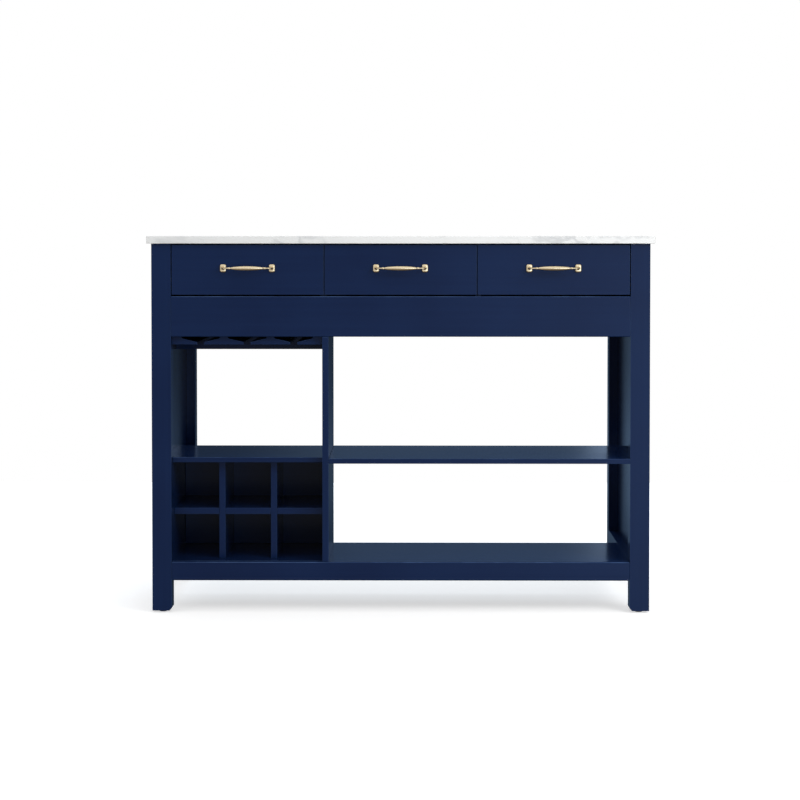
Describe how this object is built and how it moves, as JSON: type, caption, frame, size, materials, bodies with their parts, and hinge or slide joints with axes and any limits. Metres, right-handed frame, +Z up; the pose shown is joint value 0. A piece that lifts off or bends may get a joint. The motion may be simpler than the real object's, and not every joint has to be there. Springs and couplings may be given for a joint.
{
  "type": "kitchen island cart",
  "caption": "Kitchen island with a stone worktop, square posts, drawers with spindle handles, open shelves, a hanging stemware rack and bottle cubbies, open at the back.",
  "frame": {"origin": "middle of the footprint, handles included, on the floor", "axes": "+X to the viewer's right seen from the drawer side, +Y towards the open back, +Z up; the drawers face -Y"},
  "size_m": [1.216, 0.6256, 0.906],
  "materials": {
    "marble": "polished, faint grey veins",
    "navy_lacquer": "satin navy lacquer",
    "brass": "champagne brass, soft polish",
    "birch": "clear matt varnish",
    "dark_plastic": "matt black"
  },
  "bodies": {
    "carcass": {"marble_top": "marble", "leg_front_left": "navy_lacquer", "leg_front_right": "navy_lacquer", "leg_rear_left": "navy_lacquer", "leg_rear_right": "navy_lacquer", "side_panel_left": "navy_lacquer", "side_panel_right": "navy_lacquer", "side_bottom_rail_left": "navy_lacquer", "side_bottom_rail_right": "navy_lacquer", "side_top_rail_left": "navy_lacquer", "side_top_rail_right": "navy_lacquer", "front_apron": "navy_lacquer", "rear_apron": "navy_lacquer", "drawer_bay_floor": "navy_lacquer", "drawer_bay_partition_left": "navy_lacquer", "drawer_bay_partition_right": "navy_lacquer", "divider": "navy_lacquer", "middle_shelf": "navy_lacquer", "bottom_shelf": "navy_lacquer", "bottom_front_rail": "navy_lacquer", "shelf_rear_rail": "navy_lacquer", "cubby_top": "navy_lacquer", "cubby_back": "navy_lacquer", "cubby_side_board": "navy_lacquer", "cubby_upright_left": "navy_lacquer", "cubby_upright_right": "navy_lacquer", "cubby_cross_board": "navy_lacquer", "rack_rail_left": "navy_lacquer", "rack_rail_inner_left": "navy_lacquer", "rack_rail_inner_right": "navy_lacquer", "rack_rail_right": "navy_lacquer", "rack_rear_rail": "navy_lacquer", "runner_left_left": "birch", "runner_left_right": "birch", "runner_middle_left": "birch", "runner_middle_right": "birch", "runner_right_left": "birch", "runner_right_right": "birch"},
    "drawer_left": {"drawer_left_front": "navy_lacquer", "drawer_left_side_left": "birch", "drawer_left_side_right": "birch", "drawer_left_back": "birch", "drawer_left_bottom": "birch", "drawer_left_handle": "brass"},
    "drawer_middle": {"drawer_middle_front": "navy_lacquer", "drawer_middle_side_left": "birch", "drawer_middle_side_right": "birch", "drawer_middle_back": "birch", "drawer_middle_bottom": "birch", "drawer_middle_handle": "brass"},
    "drawer_right": {"drawer_right_front": "navy_lacquer", "drawer_right_side_left": "birch", "drawer_right_side_right": "birch", "drawer_right_back": "birch", "drawer_right_bottom": "birch", "drawer_right_handle": "brass"},
    "foot_front_left": {"levelling_foot_front_left": "dark_plastic"},
    "foot_front_right": {"levelling_foot_front_right": "dark_plastic"},
    "foot_rear_left": {"levelling_foot_rear_left": "dark_plastic"},
    "foot_rear_right": {"levelling_foot_rear_right": "dark_plastic"}
  },
  "joints": [
    {"name": "drawer_left_slide", "type": "slide", "parent": "carcass", "child": "drawer_left", "axis": [0, -1, 0], "range_m": [0, 0.3]},
    {"name": "drawer_middle_slide", "type": "slide", "parent": "carcass", "child": "drawer_middle", "axis": [0, -1, 0], "range_m": [0, 0.3]},
    {"name": "drawer_right_slide", "type": "slide", "parent": "carcass", "child": "drawer_right", "axis": [0, -1, 0], "range_m": [0, 0.3]},
    {"name": "foot_front_left_turn", "type": "hinge", "parent": "carcass", "child": "foot_front_left", "pos_m": [-0.57425, -0.2595, 0], "axis": [0, 0, 1], "continuous": true},
    {"name": "foot_front_right_turn", "type": "hinge", "parent": "carcass", "child": "foot_front_right", "pos_m": [0.57425, -0.2595, 0], "axis": [0, 0, 1], "continuous": true},
    {"name": "foot_rear_left_turn", "type": "hinge", "parent": "carcass", "child": "foot_rear_left", "pos_m": [-0.57425, 0.279, 0], "axis": [0, 0, 1], "continuous": true},
    {"name": "foot_rear_right_turn", "type": "hinge", "parent": "carcass", "child": "foot_rear_right", "pos_m": [0.57425, 0.279, 0], "axis": [0, 0, 1], "continuous": true}
  ]
}
